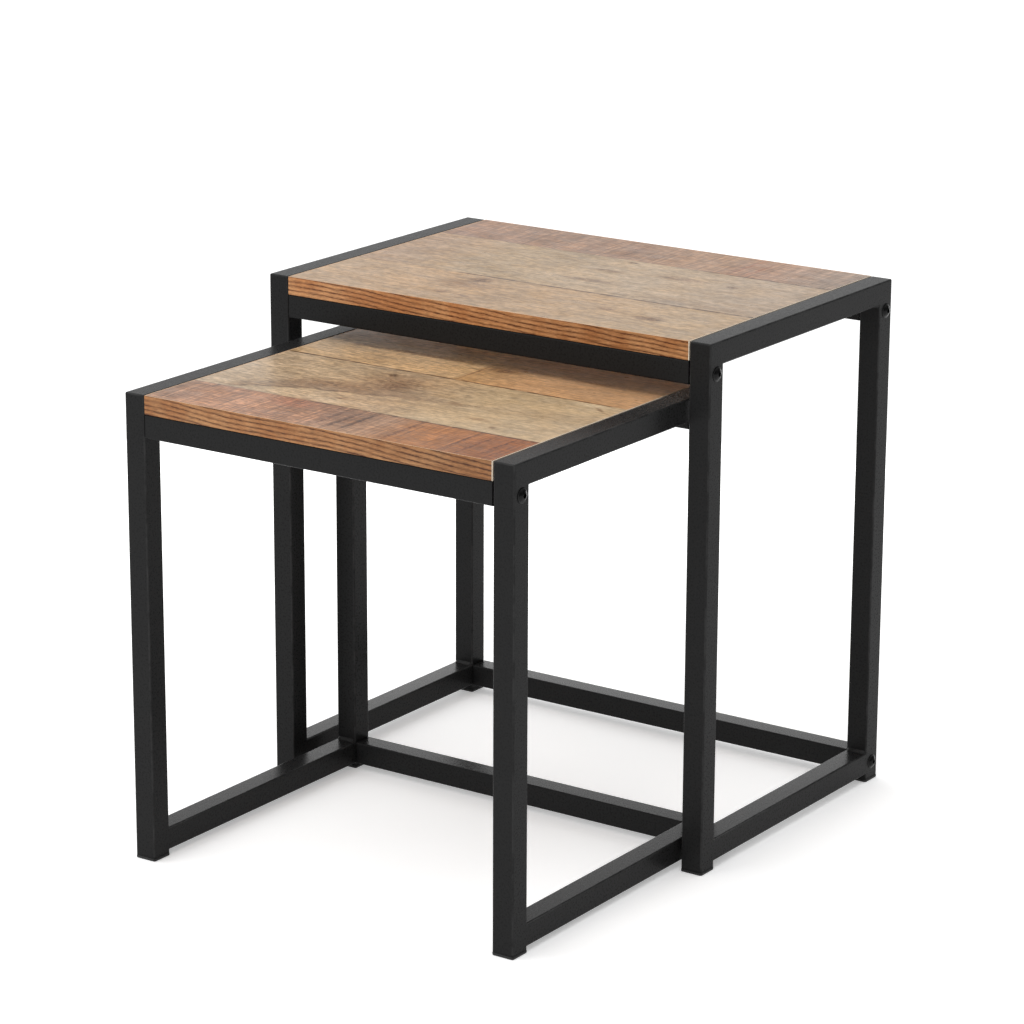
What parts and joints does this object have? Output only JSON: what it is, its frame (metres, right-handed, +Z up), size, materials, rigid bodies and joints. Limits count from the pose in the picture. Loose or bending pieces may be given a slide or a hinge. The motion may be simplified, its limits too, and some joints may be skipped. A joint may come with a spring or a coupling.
{
  "type": "nesting tables",
  "caption": "Nesting side tables: a small table slides under a large one; square steel tube side frames, bolted cross tubes, wood-look boards.",
  "frame": {"origin": "on the floor, under the middle of the pair's bounding box with the small table pulled out as stored", "axes": "+Z up, -Y the front, the way the small table pulls out, +X along the long front edges to the right"},
  "size_m": [0.4846, 0.5688, 0.485],
  "materials": {
    "black_steel": "satin black powder coat, fine texture",
    "wood_board": "satin printed reclaimed-wood planks, banded edges",
    "black_bolt": "black oxide, satin",
    "zinc_steel": "bright zinc plate",
    "foot_plastic": "matt moulded black"
  },
  "bodies": {
    "big_table": {"big_board": "wood_board", "big_left_side_frame": "black_steel", "big_right_side_frame": "black_steel", "big_front_rail": "black_steel", "big_front_rail_bolt_left": "black_bolt", "big_front_rail_nut_left": "zinc_steel", "big_front_rail_bolt_right": "black_bolt", "big_front_rail_nut_right": "zinc_steel", "big_rear_rail": "black_steel", "big_rear_rail_bolt_left": "black_bolt", "big_rear_rail_nut_left": "zinc_steel", "big_rear_rail_bolt_right": "black_bolt", "big_rear_rail_nut_right": "zinc_steel", "big_rear_stretcher": "black_steel", "big_rear_stretcher_bolt_left": "black_bolt", "big_rear_stretcher_nut_left": "zinc_steel", "big_rear_stretcher_bolt_right": "black_bolt", "big_rear_stretcher_nut_right": "zinc_steel", "big_foot_front_left": "foot_plastic", "big_board_screw_front_left": "zinc_steel", "big_foot_front_right": "foot_plastic", "big_board_screw_front_right": "zinc_steel", "big_foot_rear_left": "foot_plastic", "big_board_screw_rear_left": "zinc_steel", "big_foot_rear_right": "foot_plastic", "big_board_screw_rear_right": "zinc_steel"},
    "small_table": {"small_board": "wood_board", "small_left_side_frame": "black_steel", "small_right_side_frame": "black_steel", "small_front_rail": "black_steel", "small_front_rail_bolt_left": "black_bolt", "small_front_rail_nut_left": "zinc_steel", "small_front_rail_bolt_right": "black_bolt", "small_front_rail_nut_right": "zinc_steel", "small_rear_rail": "black_steel", "small_rear_rail_bolt_left": "black_bolt", "small_rear_rail_nut_left": "zinc_steel", "small_rear_rail_bolt_right": "black_bolt", "small_rear_rail_nut_right": "zinc_steel", "small_rear_stretcher": "black_steel", "small_rear_stretcher_bolt_left": "black_bolt", "small_rear_stretcher_nut_left": "zinc_steel", "small_rear_stretcher_bolt_right": "black_bolt", "small_rear_stretcher_nut_right": "zinc_steel", "small_foot_front_left": "foot_plastic", "small_board_screw_front_left": "zinc_steel", "small_foot_front_right": "foot_plastic", "small_board_screw_front_right": "zinc_steel", "small_foot_rear_left": "foot_plastic", "small_board_screw_rear_left": "zinc_steel", "small_foot_rear_right": "foot_plastic", "small_board_screw_rear_right": "zinc_steel"}
  },
  "joints": [
    {"name": "small_table_slide", "type": "slide", "parent": "big_table", "child": "small_table", "axis": [0, -1, 0], "range_m": [-0.2255, 0.12]}
  ]
}
